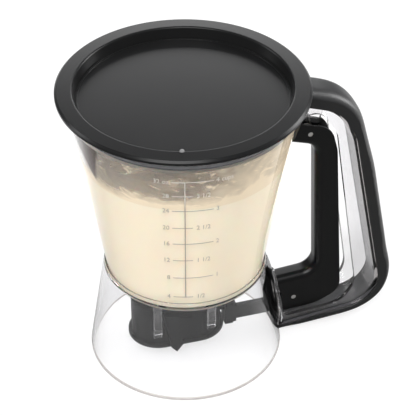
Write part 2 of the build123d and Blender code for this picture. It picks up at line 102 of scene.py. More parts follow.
def white_paper():
    """Matt paper: even and slightly off white, with no gloss."""
    material = new_material("white_paper_sweep")
    tree = material.node_tree
    path = add_node(tree, "ShaderNodeLightPath")
    seen = add_node(tree, "ShaderNodeMath", {"operation": "MAXIMUM"},
                    {0: path.outputs["Is Camera Ray"], 1: path.outputs["Is Transmission Ray"]})
    coords = add_node(tree, "ShaderNodeTexCoord")
    away = add_node(tree, "ShaderNodeVectorMath", {"operation": "LENGTH"}, {0: coords.outputs["Object"]})
    level = add_node(tree, "ShaderNodeMapRange", {1: LIT_NEAR, 2: LIT_FAR, 3: FLOOR_LIFT, 4: 1.0},
                     {0: away.outputs["Value"]})
    front = add_node(tree, "ShaderNodeMath", {"operation": "MULTIPLY"},
                     {0: seen.outputs[0], 1: level.outputs[0]})
    turned_round = add_node(tree, "ShaderNodeMapping", {"Rotation": (0, 0, -VIEW_AZIMUTH)},
                            {"Vector": coords.outputs["Object"]})
    across = add_node(tree, "ShaderNodeSeparateXYZ", links={0: turned_round.outputs[0]})
    behind = add_node(tree, "ShaderNodeMapRange", {1: BACK_NEAR, 2: BACK_FAR, 3: 0.0, 4: BACK_LIFT},
                      {0: across.outputs["Y"]})
    mirrored = add_node(tree, "ShaderNodeMath", {"operation": "MULTIPLY"},
                        {0: behind.outputs[0], 1: path.outputs["Is Glossy Ray"]})
    strength = add_node(tree, "ShaderNodeMath", {"operation": "MAXIMUM"},
                        {0: front.outputs[0], 1: mirrored.outputs[0]})
    paper = add_node(tree, "ShaderNodeBsdfDiffuse", {"Color": colour(FLOOR_COLOUR)})
    lift = add_node(tree, "ShaderNodeEmission", {"Color": (1, 1, 1, 1)}, {"Strength": strength.outputs[0]})
    both = add_node(tree, "ShaderNodeAddShader", links={0: paper.outputs[0], 1: lift.outputs[0]})
    add_node(tree, "ShaderNodeOutputMaterial", links={"Surface": both.outputs[0]})
    return material


bpy.ops.object.select_all(action="DESELECT")
bpy.ops.mesh.primitive_plane_add(size=FLOOR_SIZE, location=(0, 0, 0))
floor = bpy.context.object
floor.name = "floor"
floor.data.materials.append(white_paper())

# ---- studio: light -------------------------------------------------------------------------
# A dim grey room, which the lens itself sees as white. A softbox above the viewer lights the front, one
# behind puts sheen on the lid, and two strips at the sides draw highlights down the handle and the clear
# edges.

ROOM_COLOUR = "9C9EA4"
ROOM_STRENGTH = 0.60
BEYOND_COLOUR = "FFFFFF"   # what the lens sees past the paper's edge
BOXES = [                  # name, right, towards the viewer, height, width, depth, power
    ("front_box", -0.14, 1.00, 1.25, 1.00, 0.80, 21.5),
    ("back_box", 0.03, -0.62, 0.41, 0.50, 0.20, 1.45),
    ("left_strip", -1.05, -0.15, 0.60, 0.25, 0.90, 4.0),
    ("right_strip", 1.05, -0.40, 0.60, 0.30, 0.90, 12.0),
]
LIGHT_AIM = Vector((0, 0, 0.08))

world = bpy.data.worlds.new("grey_room")
bpy.context.scene.world = world
world.use_nodes = True
world.node_tree.nodes.clear()
room = add_node(world.node_tree, "ShaderNodeBackground",
                {"Color": colour(ROOM_COLOUR), "Strength": ROOM_STRENGTH})
beyond = add_node(world.node_tree, "ShaderNodeBackground", {"Color": colour(BEYOND_COLOUR), "Strength": 1.0})
lens = add_node(world.node_tree, "ShaderNodeLightPath")
surroundings = add_node(world.node_tree, "ShaderNodeMixShader",
                        links={0: lens.outputs["Is Camera Ray"], 1: room.outputs[0], 2: beyond.outputs[0]})
add_node(world.node_tree, "ShaderNodeOutputWorld", links={"Surface": surroundings.outputs[0]})
view_towards = Vector((math.sin(VIEW_AZIMUTH), -math.cos(VIEW_AZIMUTH), 0))
for name, right, towards, height, width, depth, power in BOXES:
    place = view_right * right + view_towards * towards + Vector((0, 0, height))
    bpy.ops.object.light_add(type="AREA", location=place)
    lamp = bpy.context.object
    lamp.name = name
    lamp.data.shape = "RECTANGLE"
    lamp.data.size = width
    lamp.data.size_y = depth
    lamp.data.energy = power
    lamp.visible_camera = False
    lamp.rotation_euler = (place - LIGHT_AIM).to_track_quat("Z", "Y").to_euler()

# ---- cup -----------------------------------------------------------------------------------
# One clear injection moulding: a tapered wall that bows in a little, a beaded rim, a funnel floor and an
# outlet tube. Polished clear copolyester, so the eye sees its edges, its thickness and what is inside.

WALL = 0.0025
FOOT_R, FOOT_Z = 0.0462, 0.0615
RIM_R, RIM_Z = 0.0660, 0.1785
BOW = 0.00046              # how far the wall bows in at half its height
BEAD_R, BEAD_TOP = 0.0686, 0.1805
BEAD_SLOPE = 0.0006        # the bead's underside rises by this much on its way out
CORNER_IN, CORNER_DROP = 0.0012, 0.0026
FUNNEL_Z = 0.0440
BORE_R, TUBE_R, TUBE_END = 0.0060, 0.0085, 0.0265
CUP_EDGE = 0.0006
WALL_RINGS = 14
TURN_STEPS = 168
CLEAR_IOR = 1.54
CLEAR_ROUGHNESS = 0.012
RIPPLES_PER_METRE = 45.0   # mould ripples about 22 mm apart
SCUFF_AND_SHADE_Z, SCUFF_ROUGHNESS = (0.0006, 0.0014), 0.25     # the edge it stands on is worn dull by the table, and greyed brownish there as painted contact shade
CUP_DENSITY = 22.0         # per metre: one wall stays water-white, and a view along a wall goes grey


def cup_radius(z):
    """Outer radius of the bowed wall at a height."""
    t = (z - FOOT_Z) / (RIM_Z - FOOT_Z)
    return FOOT_R + (RIM_R - FOOT_R) * t - 4 * BOW * t * (1 - t)


def wall_points(low, high, inset, count):
    """Profile points up the cup's wall, moved in by an inset."""
    heights = [low + (high - low) * i / (count - 1) for i in range(count)]
    return [(cup_radius(z) - inset, z) for z in heights]


def select_none():
    """Deselect everything, so that the next operator acts on its own piece alone."""
    if bpy.context.object and bpy.context.object.mode != "OBJECT":
        bpy.ops.object.mode_set(mode="OBJECT")
    bpy.ops.object.select_all(action="DESELECT")


def draw_line(name, points):
    """A new mesh of one line, extruded point by point, left open in edit mode."""
    select_none()
    bpy.ops.mesh.primitive_plane_add(size=0.001)
    piece = bpy.context.object
    piece.name = name
    bpy.ops.object.mode_set(mode="EDIT")
    bpy.ops.mesh.select_mode(type="VERT")
    bpy.ops.mesh.select_all(action="SELECT")
    bpy.ops.mesh.merge(type="CENTER")
    bpy.ops.transform.translate(value=points[0])
    for start, end in zip(points, points[1:]):
        bpy.ops.mesh.extrude_region_move(TRANSFORM_OT_translate={"value": Vector(end) - Vector(start)})
    return piece


def turned(name, profile, close=True):
    """A piece spun about the cup's axis from a profile of (radius, height) points."""
    points = [(r, 0, z) for r, z in profile]
    if close:
        points.append(points[0])
    piece = draw_line(name, points)
    bpy.ops.mesh.select_all(action="SELECT")
    bpy.ops.mesh.remove_doubles(threshold=1e-7)
    bpy.ops.mesh.spin(steps=TURN_STEPS, angle=2 * math.pi, center=(0, 0, 0), axis=(0, 0, 1))
    bpy.ops.mesh.select_all(action="SELECT")
    bpy.ops.mesh.remove_doubles(threshold=1e-6)
    bpy.ops.mesh.normals_make_consistent(inside=False)
    bpy.ops.object.mode_set(mode="OBJECT")
    return piece


def soften(piece, width, segments=3, angle=32):
    """Round the piece's sharp edges a little and shade it smooth."""
    piece.select_set(True)
    bpy.context.view_layer.objects.active = piece
    bevel = piece.modifiers.new("edge_round", "BEVEL")
    bevel.width = width
    bevel.segments = segments
    bevel.limit_method = "ANGLE"
    bevel.angle_limit = math.radians(angle)
    bpy.ops.object.modifier_apply(modifier=bevel.name)
    bpy.ops.object.shade_smooth_by_angle(angle=math.radians(angle))
    even = piece.modifiers.new("even_shading", "WEIGHTED_NORMAL")
    even.keep_sharp = True
    bpy.ops.object.modifier_apply(modifier=even.name)


def clear_copolyester(name, density):
    """Clear moulded copolyester: polished, with a faint ripple, scuffed dull where it stands and greyed there
    with painted contact shade.
    """
    material = new_material(name)
    tree = material.node_tree
    coords = add_node(tree, "ShaderNodeTexCoord")
    ripple = add_node(tree, "ShaderNodeTexNoise", {"Scale": RIPPLES_PER_METRE, "Detail": 2.0},
                      {"Vector": coords.outputs["Object"]})
    bump = add_node(tree, "ShaderNodeBump", {"Strength": 0.03, "Distance": 0.0005},
                    {"Height": ripple.outputs["Fac"]})
    place = add_node(tree, "ShaderNodeSeparateXYZ", links={0: coords.outputs["Object"]})
    scuffed_and_shaded = add_node(tree, "ShaderNodeMapRange", {1: SCUFF_AND_SHADE_Z[0], 2: SCUFF_AND_SHADE_Z[1], 3: 1.0, 4: 0.0},
                       {0: place.outputs["Z"]})
    # The greyish brown at the bottom edge is painted contact shade; the rougher finish there is wear.
    shaded_tint = add_node(tree, "ShaderNodeMix", {"data_type": "RGBA", 6: colour("FDFDFE"), 7: colour("B4AAA4")},
                    {0: scuffed_and_shaded.outputs[0]})
    matt = add_node(tree, "ShaderNodeMapRange", {3: CLEAR_ROUGHNESS, 4: SCUFF_ROUGHNESS},
                    {0: scuffed_and_shaded.outputs[0]})
    clear = add_node(tree, "ShaderNodeBsdfPrincipled", {"IOR": CLEAR_IOR, "Transmission Weight": 1.0},
                     {"Base Color": shaded_tint.outputs[2], "Roughness": matt.outputs[0],
                      "Normal": bump.outputs["Normal"]})
    path = add_node(tree, "ShaderNodeLightPath")
    open_shadow = add_node(tree, "ShaderNodeBsdfTransparent", {"Color": colour("FAFAFA")})
    mix = add_node(tree, "ShaderNodeMixShader",
                   links={0: path.outputs["Is Shadow Ray"], 1: clear.outputs[0], 2: open_shadow.outputs[0]})
    depth = add_node(tree, "ShaderNodeVolumeAbsorption", {"Color": colour("C3C0BF"), "Density": density})
    add_node(tree, "ShaderNodeOutputMaterial", links={"Surface": mix.outputs[0], "Volume": depth.outputs[0]})
    return material


cup_profile = (wall_points(FOOT_Z, RIM_Z - BEAD_SLOPE, 0, WALL_RINGS)
               + [(BEAD_R, RIM_Z), (BEAD_R, BEAD_TOP), (RIM_R - WALL, BEAD_TOP)]
               + wall_points(FOOT_Z, RIM_Z, WALL, WALL_RINGS)[::-1]
               + [(BORE_R, FUNNEL_Z + WALL), (BORE_R, TUBE_END), (TUBE_R, TUBE_END), (TUBE_R, FUNNEL_Z),
                  (FOOT_R - CORNER_IN, FOOT_Z - CORNER_DROP)])
cup = turned("clear_cup", cup_profile)
soften(cup, CUP_EDGE)
cup.data.materials.append(clear_copolyester("clear_copolyester_moulded", CUP_DENSITY))
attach(cup, "container")
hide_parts("cup_body")

# ---- printed scale -------------------------------------------------------------------------
# Volume marks screen-printed on the outside of the cup in pale grey ink: a thin film of raised ink that
# follows the wall. Fluid ounces on the left, cups on the right.

SCALE_TURN = math.radians(-105.0)
INK_LIFT = 0.00006
INK_THICK = 0.00005
LINE_WIDTH = 0.00050
MARKS = [                  # height, ounces, cups, where the cups are written, in metres right of the line
    (0.1642, "32 oz", "4 cups", 0.0170), (0.1534, "28", "3 1/2", 0.0062), (0.1419, "24", "3", 0.0172),
    (0.1284, "20", "2 1/2", 0.0062), (0.1156, "16", "2", 0.0172), (0.1020, "12", "1 1/2", 0.0062),
    (0.0875, "8", "1", 0.0172), (0.0714, "4", "1/2", 0.0062),
]
LEFT_TICK = -0.0070
SHORT_TICK, LONG_TICK = 0.0042, 0.0158
OUNCES_RIGHT = -0.0086
GLYPH = 0.0047
GLYPH_NARROW = 0.82
BAR_CUTS = 24
INK_GRAINS_PER_METRE = 2500.0      # grains of 0.4 mm
INK_SHADE_LIGHT_Z = (0.1425, 0.1500)      # the one ink is painted greyer over the batter as painted shade, and paler above it as painted light


def wrap_on_cup(piece):
    """Lay a flat XZ mesh on the cup's wall: x becomes distance round it and z stays height."""
    for vertex in piece.data.vertices:
        x, lift, z = vertex.co
        radius = cup_radius(z) + INK_LIFT - lift
        turn = SCALE_TURN + x / cup_radius(z)
        vertex.co = (radius * math.cos(turn), radius * math.sin(turn), z)


def ink_bar(left, right, low, high):
    """A flat printed line, cut into short lengths so that it can bend round the cup."""
    select_none()
    bpy.ops.mesh.primitive_grid_add(x_subdivisions=BAR_CUTS, y_subdivisions=BAR_CUTS, size=1)
    bar = bpy.context.object
    bpy.ops.object.mode_set(mode="EDIT")
    bpy.ops.transform.resize(value=(right - left, high - low, 1))
    bpy.ops.transform.rotate(value=math.radians(-90), orient_axis="X", center_override=(0, 0, 0))
    bpy.ops.transform.translate(value=((left + right) / 2, 0, (low + high) / 2))
    bpy.ops.object.mode_set(mode="OBJECT")
    return bar


def ink_words(words, x, z, align):
    """Flat printed characters, standing in XZ."""
    select_none()
    bpy.ops.object.text_add(location=(0, 0, 0))
    text = bpy.context.object
    text.data.body = words
    text.data.size = GLYPH
    text.data.align_x = align
    text.data.align_y = "CENTER"
    text.data.resolution_u = 3
    bpy.ops.object.convert(target="MESH")
    piece = bpy.context.object
    bpy.ops.object.mode_set(mode="EDIT")
    bpy.ops.mesh.select_all(action="SELECT")
    bpy.ops.transform.resize(value=(GLYPH_NARROW, 1, 1), center_override=(0, 0, 0))
    bpy.ops.transform.rotate(value=math.radians(-90), orient_axis="X", center_override=(0, 0, 0))
    bpy.ops.transform.translate(value=(x, 0, z))
    bpy.ops.object.mode_set(mode="OBJECT")
    return piece


def screen_ink():
    """Screen-printed ink: a chalky pale grey film, a little uneven where the mesh laid it down."""
    material = new_material("pale_grey_screen_ink")
    tree = material.node_tree
    coords = add_node(tree, "ShaderNodeTexCoord")
    speckle = add_node(tree, "ShaderNodeTexNoise", {"Scale": INK_GRAINS_PER_METRE, "Detail": 1.0},
                       {"Vector": coords.outputs["Object"]})
    # Below these heights the same ink is painted greyer, as painted shade, and above them paler, as painted
    # light.
    shaded_ink = add_node(tree, "ShaderNodeMix",
                        {"data_type": "RGBA", 6: colour("A9A19A"), 7: colour("BBB4AE")},
                        {0: speckle.outputs["Fac"]})
    lit_ink = add_node(tree, "ShaderNodeMix",
                         {"data_type": "RGBA", 6: colour("DDD8D1"), 7: colour("EBE7E1")},
                         {0: speckle.outputs["Fac"]})
    place = add_node(tree, "ShaderNodeSeparateXYZ", links={0: coords.outputs["Object"]})
    above = add_node(tree, "ShaderNodeMapRange", {1: INK_SHADE_LIGHT_Z[0], 2: INK_SHADE_LIGHT_Z[1], 3: 0.0, 4: 1.0},
                     {0: place.outputs["Z"]})
    tone = add_node(tree, "ShaderNodeMix", {"data_type": "RGBA"},
                    {0: above.outputs[0], 6: shaded_ink.outputs[2], 7: lit_ink.outputs[2]})
    ink = add_node(tree, "ShaderNodeBsdfPrincipled", {"Roughness": 0.55, "IOR": 1.48},
                   {"Base Color": tone.outputs[2]})
    add_node(tree, "ShaderNodeOutputMaterial", links={"Surface": ink.outputs[0]})
    return material


prints = [ink_bar(-LINE_WIDTH / 2, LINE_WIDTH / 2, MARKS[-1][0], MARKS[0][0])]
for height, ounces, cups, cups_x in MARKS:
    tick = LONG_TICK if cups_x > LONG_TICK else SHORT_TICK
    prints.append(ink_bar(LEFT_TICK, tick, height - LINE_WIDTH / 2, height + LINE_WIDTH / 2))
    prints.append(ink_words(ounces, OUNCES_RIGHT, height, "RIGHT"))
    prints.append(ink_words(cups, cups_x, height, "LEFT"))
select_none()
for part in prints:
    part.select_set(True)
bpy.context.view_layer.objects.active = prints[0]
bpy.ops.object.join()
scale_print = bpy.context.object
scale_print.name = "printed_scale"
wrap_on_cup(scale_print)
film = scale_print.modifiers.new("ink_film", "SOLIDIFY")
film.thickness = INK_THICK
film.offset = 1
bpy.ops.object.modifier_apply(modifier=film.name)
scale_print.data.materials.append(screen_ink())
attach(scale_print, "container")

# ---- stand skirt ---------------------------------------------------------------------------
# Clear flared skirt, scarfed onto the cup's lower corner. It stands on its lower edge and has a slot on
# the handle's side that the pull arm comes out through.

SKIRT_BASE_R, SKIRT_TOP_R, SKIRT_TOP = 0.0578, 0.0477, 0.0660
SKIRT_WALL = 0.0022
SKIRT_EDGE = 0.0010
SKIRT_DENSITY = 36.0       # the skirt is a shade greyer than the cup
SLOT_LOW, SLOT_HIGH = 0.0056, 0.0270
SLOT_STEPS = 2             # the slot is two steps of the spin wide, each side of the middle
MIDDLE_Z = 0.0420          # a ring of points between the slot and the scarf keeps the shading straight
SCARF_SUPPORT = 0.0006     # so does one just below the scarf
BOND = 0.00008             # the weld with the cup leaves no air in the joint
WEDGE, WELD_Z = 0.00012, 0.0646    # but it stops short of the skirt's top edge, which shows as a grey ring


def skirt_radius(z):
    """Outer radius of the skirt at a height."""
    return SKIRT_BASE_R + (SKIRT_TOP_R - SKIRT_BASE_R) * z / SKIRT_TOP


levels = [0, SLOT_LOW, SLOT_HIGH, MIDDLE_Z, FOOT_Z - SCARF_SUPPORT, FOOT_Z]
scarf = ([(cup_radius(SKIRT_TOP) + WEDGE, SKIRT_TOP)]
         + [(cup_radius(z) - BOND, z) for z in (WELD_Z, FOOT_Z)])
skirt_profile = ([(skirt_radius(z), z) for z in levels] + [(SKIRT_TOP_R, SKIRT_TOP)] + scarf
                 + [(skirt_radius(z) - SKIRT_WALL, z) for z in levels[-2::-1]])
skirt = turned("clear_stand_skirt", skirt_profile)
bpy.ops.object.mode_set(mode="EDIT")
bpy.ops.mesh.select_mode(type="FACE")
bpy.ops.mesh.select_all(action="DESELECT")
mesh = bmesh.from_edit_mesh(skirt.data)
half_slot = SLOT_STEPS * 2 * math.pi / TURN_STEPS
for face in mesh.faces:
    middle = face.calc_center_median()
    face.select = abs(math.atan2(middle.y, middle.x)) < half_slot and SLOT_LOW < middle.z < SLOT_HIGH
bmesh.update_edit_mesh(skirt.data)
bpy.ops.mesh.delete(type="FACE")
bpy.ops.mesh.select_mode(type="EDGE")
bpy.ops.mesh.select_non_manifold()
bpy.ops.mesh.bridge_edge_loops()
bpy.ops.mesh.select_all(action="SELECT")
bpy.ops.mesh.normals_make_consistent(inside=False)
bpy.ops.object.mode_set(mode="OBJECT")
soften(skirt, SKIRT_EDGE)
skirt.data.materials.append(clear_copolyester("clear_copolyester_skirt", SKIRT_DENSITY))
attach(skirt, "container")
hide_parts("stand_skirt")

# ---- handle frame and clips ----------------------------------------------------------------
# Clear channel of the handle, and the four snap legs under the funnel, in the same clear plastic. A mould
# leaves every edge slightly round, and those round edges catch the light.

CLEAR_EDGE = 0.0005
CHANNEL_DENSITY = 100.0    # the thick channel is greyer than the cup's thin wall
SEAM = 0.000002            # corners of a CAD mesh that are this close are one corner
FLAT = math.radians(0.5)   # and its faces that are this near to flat are one face
SEAT_GAP = 0.00006         # hairline of air round the channel, which mirrors light inside the plastic


def eased_copy(node_name, new_name, width, angle=35, shrink=0.0):
    """A copy of a CAD piece with its edges rounded over, and its faces drawn in a hairline if asked."""
    select_none()
    piece = nodes[node_name].copy()
    piece.data = piece.data.copy()
    piece.name = new_name
    bpy.context.collection.objects.link(piece)
    piece.select_set(True)
    bpy.context.view_layer.objects.active = piece
    bpy.ops.mesh.customdata_custom_splitnormals_clear()
    bpy.ops.object.mode_set(mode="EDIT")
    bpy.ops.mesh.select_mode(type="VERT")
    bpy.ops.mesh.select_all(action="SELECT")
    bpy.ops.mesh.remove_doubles(threshold=SEAM)
    bpy.ops.mesh.dissolve_limited(angle_limit=FLAT)
    if shrink:
        bpy.ops.transform.shrink_fatten(value=-shrink)
    bpy.ops.object.mode_set(mode="OBJECT")
    soften(piece, width, segments=3, angle=angle)
    piece.data.materials.clear()
    return piece


channel_plastic = clear_copolyester("clear_copolyester_channel", CHANNEL_DENSITY)
for node_name, new_name in (("handle_frame", "clear_handle_channel"), ("housing_clips", "clear_snap_legs")):
    clear_piece = eased_copy(node_name, new_name, CLEAR_EDGE, shrink=SEAT_GAP)
    clear_piece.data.materials.append(channel_plastic)
    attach(clear_piece, "container")
    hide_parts(node_name)

# ---- grip ----------------------------------------------------------------------------------
# Soft cover over the handle's back, where the palm lies. It is thermoplastic rubber moulded onto the clear
# channel: near black and matt, with a fine spark-eroded grain.

GRIP_EDGE = 0.0008
RUBBER_GRAINS_PER_METRE = 2200.0   # grains of about 0.45 mm


def soft_rubber():
    """Moulded thermoplastic rubber: near black, matt, with a fine even grain that scatters highlights."""
    material = new_material("soft_grip_rubber_moulded")
    tree = material.node_tree
    coords = add_node(tree, "ShaderNodeTexCoord")
    grain = add_node(tree, "ShaderNodeTexNoise", {"Scale": RUBBER_GRAINS_PER_METRE, "Detail": 3.0},
                     {"Vector": coords.outputs["Object"]})
    bump = add_node(tree, "ShaderNodeBump", {"Strength": 0.25, "Distance": 0.00008},
                    {"Height": grain.outputs["Fac"]})
    tone = add_node(tree, "ShaderNodeMix", {"data_type": "RGBA", 6: colour("0E0E0E"), 7: colour("141414")},
                    {0: grain.outputs["Fac"]})
    rubber = add_node(tree, "ShaderNodeBsdfPrincipled",
                      {"Roughness": 0.46, "IOR": 1.50, "Specular IOR Level": 0.65},
                      {"Base Color": tone.outputs[2], "Normal": bump.outputs["Normal"]})
    add_node(tree, "ShaderNodeOutputMaterial", links={"Surface": rubber.outputs[0]})
    return material


grip = eased_copy("grip_shell", "soft_grip_cover", GRIP_EDGE)
grip.data.materials.append(soft_rubber())
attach(grip, "container")
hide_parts("grip_shell")

# ---- valve ---------------------------------------------------------------------------------
# The gate valve under the funnel. Shell, bottom cover, sliding gate and pull arm are moulded in black nylon,
# and the seal above the gate and the nozzle below it are smoky silicone.

VALVE_EDGE = 0.0005
VALVE_PIECES = [           # node, new name, body
    ("valve_housing", "black_valve_housing", "container"), ("valve_cover", "black_valve_cover", "container"),
    ("gate_slide", "black_gate_slide", "gate"), ("pull_arm", "black_pull_arm", "gate"),
]
BLACK_GRAINS_PER_METRE = 1600.0    # grains of about 0.6 mm
BLACK_CLOUDS_PER_METRE = 60.0      # the black changes its tone over about 17 mm
HIGHLIGHT_FADE = 1.3           # a painted pale highlight has faded out at this many times its radius
SILICONE_CLOUDS_PER_METRE = 90.0   # the silicone changes its tone over about 11 mm


def black_moulding(name, dark, light, roughness, shine, highlight_place=None, highlight_radius=0.0):
    """Black moulded plastic: satin and finely textured, with a pale disc of painted highlight round a point
    if asked.
    """
    material = new_material(name)
    tree = material.node_tree
    coords = add_node(tree, "ShaderNodeTexCoord")
    grain = add_node(tree, "ShaderNodeTexNoise", {"Scale": BLACK_GRAINS_PER_METRE, "Detail": 3.0},
                     {"Vector": coords.outputs["Object"]})
    bump = add_node(tree, "ShaderNodeBump", {"Strength": 0.06, "Distance": 0.00006},
                    {"Height": grain.outputs["Fac"]})
    cloud = add_node(tree, "ShaderNodeTexNoise", {"Scale": BLACK_CLOUDS_PER_METRE, "Detail": 2.0},
                     {"Vector": coords.outputs["Object"]})
    tone = add_node(tree, "ShaderNodeMix", {"data_type": "RGBA", 6: colour(dark), 7: colour(light)},
                    {0: cloud.outputs["Fac"]})
    if highlight_place is not None:
        away = add_node(tree, "ShaderNodeVectorMath", {"operation": "DISTANCE", 1: highlight_place},
                        {0: coords.outputs["Object"]})
        painted_highlight = add_node(tree, "ShaderNodeMapRange",
                        {1: highlight_radius, 2: HIGHLIGHT_FADE * highlight_radius, 3: 1.0, 4: 0.0},
                        {0: away.outputs["Value"]})
        tone = add_node(tree, "ShaderNodeMix", {"data_type": "RGBA", 7: colour("868686")},
                        {0: painted_highlight.outputs[0], 6: tone.outputs[2]})
    plastic = add_node(tree, "ShaderNodeBsdfPrincipled",
                       {"Roughness": roughness, "IOR": 1.50, "Specular IOR Level": shine},
                       {"Base Color": tone.outputs[2], "Normal": bump.outputs["Normal"]})
    add_node(tree, "ShaderNodeOutputMaterial", links={"Surface": plastic.outputs[0]})
    return material


valve_plastic = black_moulding("valve_nylon_moulded", "070707", "0B0B0B", 0.40, 0.13)
for node_name, new_name, body in VALVE_PIECES:
    valve_piece = eased_copy(node_name, new_name, VALVE_EDGE)
    valve_piece.data.materials.append(valve_plastic)
    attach(valve_piece, body)
    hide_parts(node_name)


def grey_silicone():
    """Moulded silicone: smoky grey, soft sheen, lets a little light in."""
    material = new_material("smoky_silicone_moulded")
    tree = material.node_tree
    coords = add_node(tree, "ShaderNodeTexCoord")
    cloud = add_node(tree, "ShaderNodeTexNoise", {"Scale": SILICONE_CLOUDS_PER_METRE, "Detail": 2.0},
                     {"Vector": coords.outputs["Object"]})
    tone = add_node(tree, "ShaderNodeMix", {"data_type": "RGBA", 6: colour("4A4A4C"), 7: colour("56565A")},
                    {0: cloud.outputs["Fac"]})
    silicone = add_node(tree, "ShaderNodeBsdfPrincipled",
                        {"Roughness": 0.42, "IOR": 1.41, "Subsurface Weight": 0.15,
                         "Subsurface Scale": 0.001}, {"Base Color": tone.outputs[2]})
    add_node(tree, "ShaderNodeOutputMaterial", links={"Surface": silicone.outputs[0]})
    return material


silicone = grey_silicone()
for name in ("outlet_seal", "nozzle"):
    nodes[name].material_slots[0].material = silicone

# ---- trigger, pins and spring --------------------------------------------------------------
# Black satin nylon trigger that swings on a bright steel pin, with a wound steel spring inside it. A second
# steel pin pulls the valve's arm.

TRIGGER_EDGE = 0.0007
STEEL_MARKS_PER_METRE = 1500.0     # marks of about 0.7 mm


def drawn_steel():
    """Drawn stainless steel: bright, with fine marks of the drawing that spread the highlight."""
    material = new_material("drawn_stainless_steel")
    tree = material.node_tree
    coords = add_node(tree, "ShaderNodeTexCoord")
    marks = add_node(tree, "ShaderNodeTexNoise", {"Scale": STEEL_MARKS_PER_METRE, "Detail": 2.0},
                     {"Vector": coords.outputs["Object"]})
    bump = add_node(tree, "ShaderNodeBump", {"Strength": 0.1, "Distance": 0.00003},
                    {"Height": marks.outputs["Fac"]})
    steel = add_node(tree, "ShaderNodeBsdfPrincipled",
                     {"Base Color": colour("D8D6D2"), "Metallic": 1.0, "Roughness": 0.28},
                     {"Normal": bump.outputs["Normal"]})
    add_node(tree, "ShaderNodeOutputMaterial", links={"Surface": steel.outputs[0]})
    return material


trigger = eased_copy("trigger", "black_finger_trigger", TRIGGER_EDGE, angle=50)
trigger.data.materials.append(black_moulding("trigger_nylon_moulded", "050505", "090909", 0.34, 0.30))
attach(trigger, "trigger")
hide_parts("trigger")
steel = drawn_steel()
for name in ("pivot_pin", "link_pin", "return_spring"):
    nodes[name].material_slots[0].material = steel

# ---- batter --------------------------------------------------------------------------------
# Thick cream pancake batter fills the funnel and the cup up to just below the 24 ounce mark. It is the
# contents, poured in, and not a made piece.

BATTER_TOP = 0.1415
DISH = 0.0002              # the middle of the surface lies this far below the batter's level
CLIMB, CLIMB_WIDTH = 0.0008, 0.004     # and its edge climbs the wall by this much over this width
WETTING = 0.00012          # the batter wets the wall, so no air shows between them
BATTER_RINGS = 12
BATTER_SMOOTH = math.radians(40)
SWIRLS_PER_METRE = 26.0    # cream swirls about 38 mm across


def pancake_batter():
    """Pancake batter: a thick cream emulsion, soft and slightly see-through at its skin."""
    material = new_material("pancake_batter_poured")
    tree = material.node_tree
    coords = add_node(tree, "ShaderNodeTexCoord")
    swirl = add_node(tree, "ShaderNodeTexNoise",
                     {"Scale": SWIRLS_PER_METRE, "Detail": 3.0, "Distortion": 0.6},
                     {"Vector": coords.outputs["Object"]})
    tone = add_node(tree, "ShaderNodeMix", {"data_type": "RGBA", 6: colour("F2E6CF"), 7: colour("F8EFDB")},
                    {0: swirl.outputs["Fac"]})
    batter = add_node(tree, "ShaderNodeBsdfPrincipled",
                      {"Roughness": 0.4, "IOR": 1.38, "Subsurface Weight": 0.3, "Subsurface Scale": 0.003},
                      {"Base Color": tone.outputs[2]})
    add_node(tree, "ShaderNodeOutputMaterial", links={"Surface": batter.outputs[0]})
    return material


batter_profile = ([(0, BATTER_TOP - DISH), (cup_radius(BATTER_TOP) - WALL - CLIMB_WIDTH, BATTER_TOP - DISH)]
                  + wall_points(FOOT_Z, BATTER_TOP + CLIMB, WALL - WETTING, BATTER_RINGS)[::-1]
                  + [(BORE_R + WETTING, FUNNEL_Z + WALL - WETTING), (BORE_R + WETTING, TUBE_END),
                     (0, TUBE_END)])
batter = turned("pancake_batter", batter_profile, close=False)
bpy.ops.object.shade_smooth_by_angle(angle=BATTER_SMOOTH)
batter.data.materials.append(pancake_batter())
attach(batter, "container")

# ---- batter film ---------------------------------------------------------------------------
# What the batter leaves on the wall above its level: a thin skin of smears that runs back down, dense near
# the level and patchy towards the lid. Where it has drained it lets the wall show through, and is coloured
# brownish there as painted shade; a dark wedge of painted shade stands where the shadowed inside shows.

FILM_TOP = 0.1706
FILM_THICK = 0.00015
FILM_RINGS = 8
FLOW = (1.0, 1.0, 1.8)     # all smears are longer round the wall than up it
SMEAR_SIZE = 0.024         # length of one smear round the wall
HAZE_FROM, HAZE_TO, HAZE_COVER = 0.42, 0.74, 0.38      # where in the pattern a smear starts and is thickest
LICK_SIZE = 0.012          # the small cream arcs that draining batter leaves
LICK_FROM, LICK_TO, LICK_COVER = 0.60, 0.72, 0.45
HANDLE_FROM, HANDLE_TO, HANDLE_COVER = -0.012, 0.030, 0.70     # the skin thickens towards the handle
EDGE_SIZE = 0.018          # the level's edge wanders over this length
EDGE_WANDER = 0.0120
EDGE_FADE = 0.0110
THICK_AT = 0.45            # from this cover up the skin is cream, and below it coloured brownish as painted shade
WET_COVER = 0.11           # the drained wall keeps a thin wet skin, coloured brownish as painted shade
SHADE_WEDGE_Z = (0.1430, 0.1710)        # a dark wedge of painted shade, where the shadowed inside shows, widens over these heights
SHADE_WEDGE_FOOT = math.radians(21.0)   # its bearings start opposite the handle and turn towards the viewer
SHADE_WEDGE_LEFT, SHADE_WEDGE_RIGHT = math.radians(-2.2), math.radians(29.0)
SHADE_WEDGE_SOFT, SHADE_WEDGE_COVER = 0.05, 0.72


